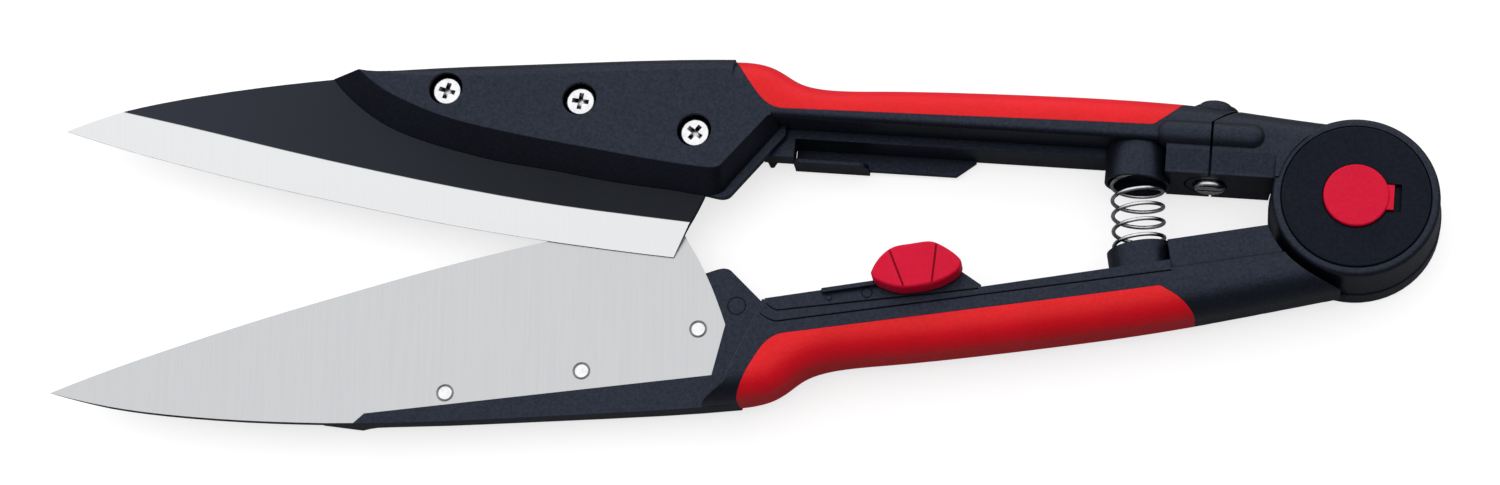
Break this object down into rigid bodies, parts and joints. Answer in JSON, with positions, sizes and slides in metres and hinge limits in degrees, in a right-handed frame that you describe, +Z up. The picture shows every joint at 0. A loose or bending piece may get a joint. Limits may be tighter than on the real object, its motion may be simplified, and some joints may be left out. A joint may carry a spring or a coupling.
{
  "type": "grass shears",
  "caption": "One-handed grass shears: two long blades on sprung handles with soft grips, a round pivot hub, a sliding closing latch and a tension hinge.",
  "frame": {"origin": "on the main pivot axis, at the underside of the lower hub, which the shears rest on", "axes": "+X along the shears toward the hub end (blades point toward -X, the line the blades close on is the X axis), +Z up along the pivot axis"},
  "size_m": [0.352, 0.0932, 0.0256],
  "materials": {
    "black_nylon": "fine pebbled moulding",
    "red_grip": "soft satin overmould",
    "red_plastic": "satin",
    "blade_steel": "ground bevel, cross-brushed inner face, dark non-stick outer face",
    "screw_steel": "bright zinc",
    "spring_steel": "drawn wire",
    "pivot_steel": "turned",
    "insert_brass": "turned",
    "washer_nylon": "matte"
  },
  "bodies": {
    "lower_half": {"lower_handle_frame": "black_nylon", "lower_grip": "red_grip", "lower_blade": "blade_steel", "lower_blade_screws": "screw_steel", "latch_leaf_spring": "spring_steel", "pivot_bush": "pivot_steel", "pivot_bolt": "pivot_steel", "pivot_nut": "pivot_steel", "pivot_nut_cap": "black_nylon", "pivot_washer": "pivot_steel", "pivot_spring_washer": "pivot_steel", "thrust_washer": "washer_nylon", "return_spring": "spring_steel"},
    "latch": {"latch_slider": "black_nylon", "latch_button": "red_plastic", "latch_retainer": "black_nylon", "latch_retainer_screw": "screw_steel"},
    "upper_arm": {"upper_rear_arm": "black_nylon", "hub_cover": "black_nylon", "pivot_cap": "red_plastic", "tension_spring": "spring_steel"},
    "upper_front": {"upper_handle_frame": "black_nylon", "upper_grip": "red_grip", "upper_blade": "blade_steel", "upper_blade_screws": "screw_steel", "hinge_screw": "screw_steel", "hinge_insert": "insert_brass", "tension_plunger": "pivot_steel"}
  },
  "joints": [
    {"name": "handle_pivot", "type": "hinge", "parent": "lower_half", "child": "upper_arm", "pos_m": [0, 0, 0.0105], "axis": [0, 0, 1], "range_deg": [0, 12.7], "stiffness_Nm_per_rad": 1.5, "springref_deg": -20.05, "deforming": ["return_spring"]},
    {"name": "blade_tension_hinge", "type": "hinge", "parent": "upper_arm", "child": "upper_front", "pos_m": [-0.03445, 0.01592, 0.0105], "axis": [0.1109, 0.9938, 0], "range_deg": [0, 1], "stiffness_Nm_per_rad": 1.2, "springref_deg": -17.19, "deforming": ["tension_spring"]},
    {"name": "latch_slide", "type": "slide", "parent": "lower_half", "child": "latch", "axis": [-0.9938, -0.1109, 0], "range_m": [0, 0.01]}
  ]
}
